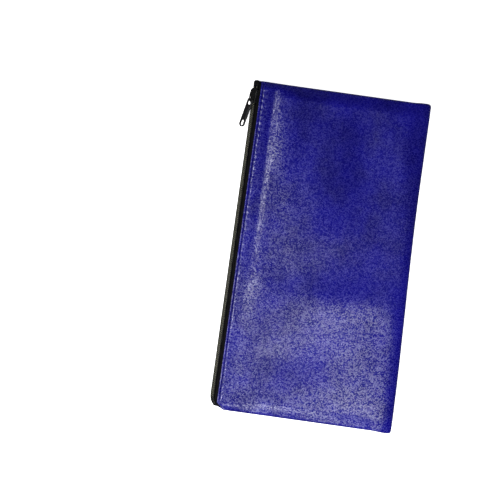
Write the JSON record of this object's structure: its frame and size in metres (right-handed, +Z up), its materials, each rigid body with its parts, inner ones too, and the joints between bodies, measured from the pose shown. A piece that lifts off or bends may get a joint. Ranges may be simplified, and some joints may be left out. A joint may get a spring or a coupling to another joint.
{
  "type": "cash deposit bag",
  "caption": "Flat leatherette pouch for cash and deposits, folded from one sheet and closed along one long side by a nylon coil zipper with a swinging pull tab",
  "frame": {"origin": "middle of the flat underside, where the bag lies on a table", "axes": "+X from the zipper side to the folded side, +Y along the zipper to its closed end, +Z up out of the front panel"},
  "size_m": [0.1634, 0.2794, 0.0135],
  "materials": {
    "leatherette": "royal blue coated leatherette with a fine pebble grain and a soft satin sheen",
    "zipper_tape": "black woven polyester tape, matt",
    "zipper_coil": "black nylon monofilament coil, slightly glossy",
    "thread": "royal blue polyester sewing thread",
    "slider_enamel": "black enamel over die-cast zinc, satin",
    "tab_enamel": "black enamel over stamped metal, glossy"
  },
  "bodies": {
    "bag": {"shell": "leatherette", "front_tape": "zipper_tape", "back_tape": "zipper_tape", "front_coil": "zipper_coil", "back_coil": "zipper_coil", "front_topstitch": "thread", "back_topstitch": "thread", "closed_end_seam_thread": "thread", "slack_end_seam_thread": "thread"},
    "slider": {"slider_body": "slider_enamel"},
    "pull": {"pull_tab": "tab_enamel"}
  },
  "joints": [
    {"name": "slider_slide", "type": "slide", "parent": "bag", "child": "slider", "axis": [0, -1, 0], "range_m": [0, 0.2465], "deforming": ["front_coil", "back_coil"]},
    {"name": "pull_tab_hinge", "type": "hinge", "parent": "slider", "child": "pull", "pos_m": [-0.07702, 0.1229, 0.00981], "axis": [-0.7433, 0.2419, -0.6237], "range_deg": [0, 125]}
  ]
}
